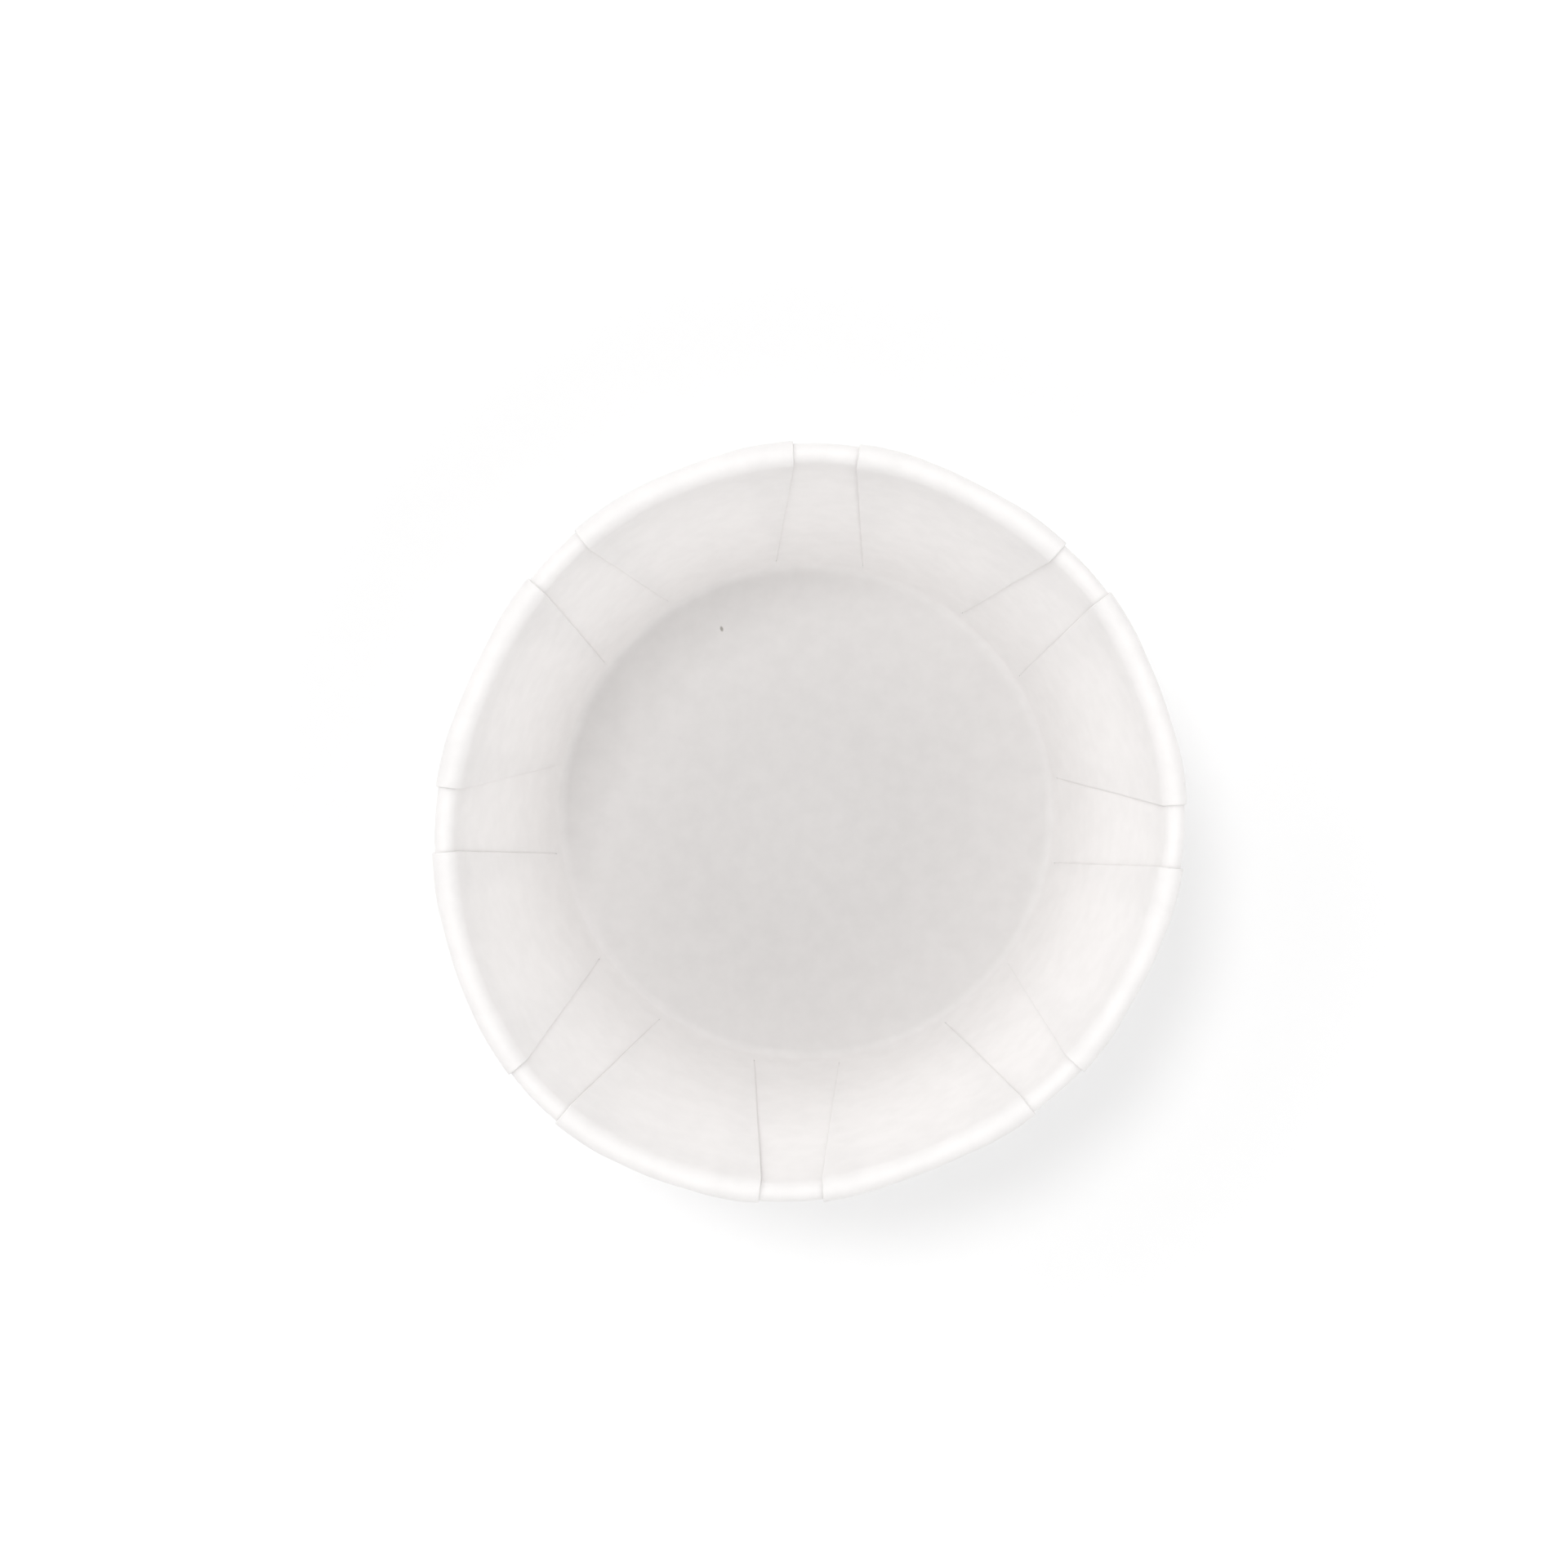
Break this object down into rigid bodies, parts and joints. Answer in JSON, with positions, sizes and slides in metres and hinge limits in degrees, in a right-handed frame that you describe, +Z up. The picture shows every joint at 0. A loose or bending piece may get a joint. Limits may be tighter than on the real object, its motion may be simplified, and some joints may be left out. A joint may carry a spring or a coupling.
{
  "type": "pleated paper sundae cup",
  "caption": "Round pleated paper cup with a flat base, a flared wall of folded panels and an outward-rolled rim, for a single portion of ice cream, sauce or snacks.",
  "frame": {"origin": "centre of the base's underside, on the cup's own axis", "axes": "+Z up the cup's axis, out of its mouth; +X and +Y each through the middle of a pleat's window"},
  "size_m": [0.0826, 0.0826, 0.037],
  "materials": {
    "paper": "matte"
  },
  "bodies": {
    "root": {"pleated_cup": "paper"}
  },
  "joints": []
}
